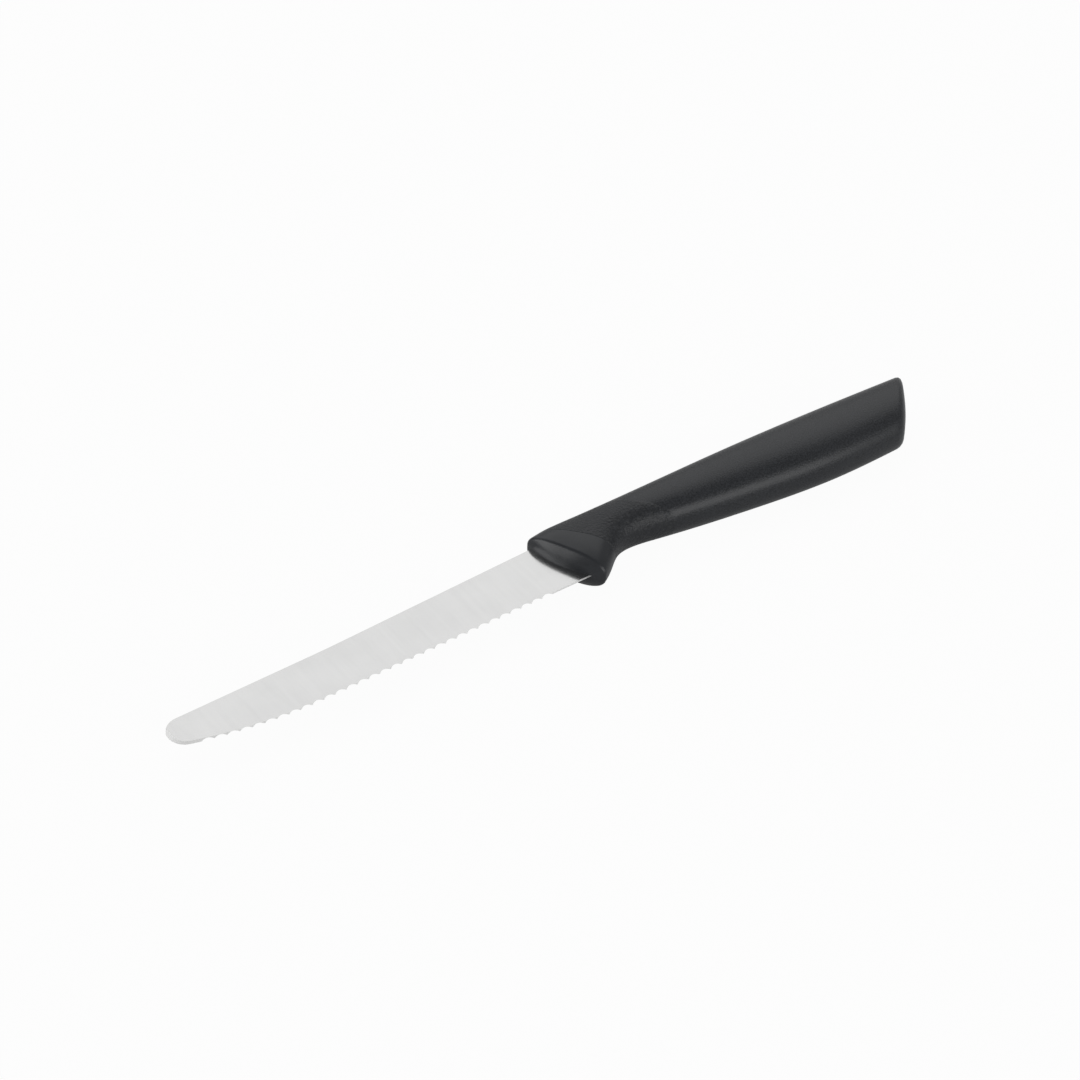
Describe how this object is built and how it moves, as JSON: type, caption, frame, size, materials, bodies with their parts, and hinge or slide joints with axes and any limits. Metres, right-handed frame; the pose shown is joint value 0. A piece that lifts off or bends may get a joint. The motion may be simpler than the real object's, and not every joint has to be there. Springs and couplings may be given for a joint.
{
  "type": "serrated utility knife",
  "caption": "Small round-tipped kitchen knife with a scalloped edge ground from one side and a moulded black handle with a raked front face and finger guard.",
  "frame": {"origin": "below the middle of the knife's outer box, on the plane the handle lies on", "axes": "+X from the tip to the butt, +Y from the edge to the spine, +Z out of the flat side of the blade; the blade lies level"},
  "size_m": [0.2298, 0.0218, 0.0144],
  "materials": {
    "steel": "satin, finely cross ground",
    "plastic": "fine mould grain, coarser round the waist, smooth on the collar"
  },
  "bodies": {
    "root": {"blade": "steel", "handle": "plastic"}
  },
  "joints": []
}
